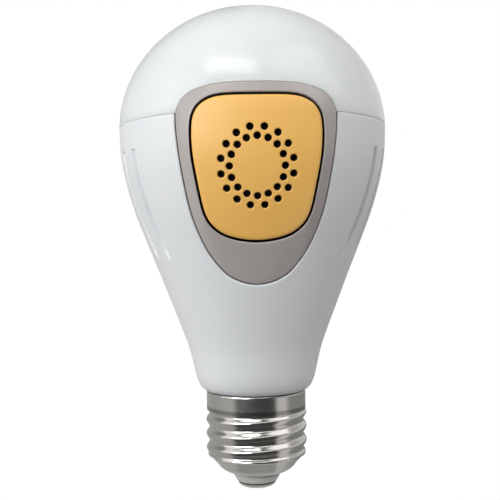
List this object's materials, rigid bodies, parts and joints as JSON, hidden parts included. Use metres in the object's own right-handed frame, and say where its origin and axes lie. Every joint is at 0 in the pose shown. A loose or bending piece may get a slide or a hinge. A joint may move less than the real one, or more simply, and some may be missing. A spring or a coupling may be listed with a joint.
{
  "type": "smart light bulb",
  "caption": "LED light bulb with a milky dome, a white tapered body, a screw cap, and a push-to-release sound module in a grey shield-shaped frame.",
  "frame": {"origin": "centre of the flat underside of the centre contact, at the tip of the screw cap", "axes": "+Z along the bulb's axis from the cap to the dome, -Y out of the front face that holds the sound module, +X to the right of a viewer in front"},
  "size_m": [0.0688, 0.0687, 0.1244],
  "materials": {
    "body_white": "satin white moulded plastic",
    "milky_plastic": "milky light-diffusing plastic, slightly translucent",
    "taupe_satin": "satin warm grey moulded plastic",
    "gold_face": "satin gold-yellow painted face",
    "nickel_plate": "nickel-plated rolled brass",
    "cap_grey": "light grey moulded insulator",
    "aluminium": "pressed aluminium",
    "led_board_white": "white solder mask",
    "led_phosphor": "yellow phosphor in a white package",
    "steel": "plain steel",
    "dark_plastic": "fine-textured dark plastic",
    "contact_gold": "gold-plated contact",
    "board_green": "green solder mask on fibreglass board",
    "tin_shield": "tin-plated shield can",
    "battery_foil": "laminated pouch foil",
    "mesh_cloth": "fine black acoustic cloth",
    "cone_paper": "coated speaker cone",
    "ferrite": "pressed ferrite",
    "capacitor_sleeve": "shrink sleeve over an aluminium can",
    "winding_tape": "yellow polyester tape",
    "copper_winding": "enamelled copper wire",
    "film_yellow": "yellow film capacitor case",
    "chip_black": "black epoxy package",
    "resistor_coat": "green resistor coating",
    "wire_black": "black wire insulation",
    "wire_white": "white wire insulation",
    "wire_red": "red wire insulation"
  },
  "bodies": {
    "lamp_body": {"diffuser_dome": "milky_plastic", "housing_shell": "body_white", "bezel": "taupe_satin", "screw_shell": "nickel_plate", "cap_insulator": "cap_grey", "centre_contact": "nickel_plate", "heat_sink": "aluminium", "led_board": "led_board_white", "led_01": "led_phosphor", "led_02": "led_phosphor", "led_03": "led_phosphor", "led_04": "led_phosphor", "led_05": "led_phosphor", "led_06": "led_phosphor", "led_07": "led_phosphor", "led_08": "led_phosphor", "led_09": "led_phosphor", "led_10": "led_phosphor", "led_11": "led_phosphor", "led_12": "led_phosphor", "led_board_screw_1": "steel", "led_board_screw_2": "steel", "led_board_screw_3": "steel", "bay_liner": "dark_plastic", "dock_header": "dark_plastic", "dock_pin_1": "contact_gold", "dock_pin_2": "contact_gold", "dock_pin_3": "contact_gold", "dock_pin_4": "contact_gold", "dock_board": "board_green", "board_link": "dark_plastic", "latch_bracket": "dark_plastic", "eject_spring_left": "steel", "eject_spring_right": "steel", "driver_board": "board_green", "bulk_capacitor": "capacitor_sleeve", "transformer_core": "ferrite", "transformer_winding": "winding_tape", "filter_inductor": "copper_winding", "film_capacitor": "film_yellow", "rectifier": "chip_black", "driver_chip": "chip_black", "fuse_resistor": "resistor_coat", "live_wire": "wire_black", "neutral_wire": "wire_white", "led_lead_red": "wire_red", "led_lead_black": "wire_black"},
    "eject_slide": {"eject_carriage": "dark_plastic"},
    "sound_module": {"module_front_cover": "gold_face", "module_case": "dark_plastic", "acoustic_mesh": "mesh_cloth", "speaker_basket": "dark_plastic", "speaker_cone": "cone_paper", "speaker_magnet": "ferrite", "module_board": "board_green", "radio_module": "tin_shield", "microphone": "dark_plastic", "module_battery": "battery_foil", "module_socket": "dark_plastic"},
    "latch_follower": {"latch_wire": "steel"}
  },
  "joints": [
    {"name": "eject_travel", "type": "slide", "parent": "lamp_body", "child": "eject_slide", "axis": [0, -1, 0], "range_m": [-0.0012, 0.0045], "deforming": ["eject_spring_left", "eject_spring_right"]},
    {"name": "module_travel", "type": "slide", "parent": "eject_slide", "child": "sound_module", "axis": [0, -1, 0], "range_m": [0, 0.034]},
    {"name": "latch_wire_swing", "type": "hinge", "parent": "lamp_body", "child": "latch_follower", "pos_m": [0, -0.0059, 0.09], "axis": [0, 0, 1], "range_deg": [-6, 6]}
  ]
}
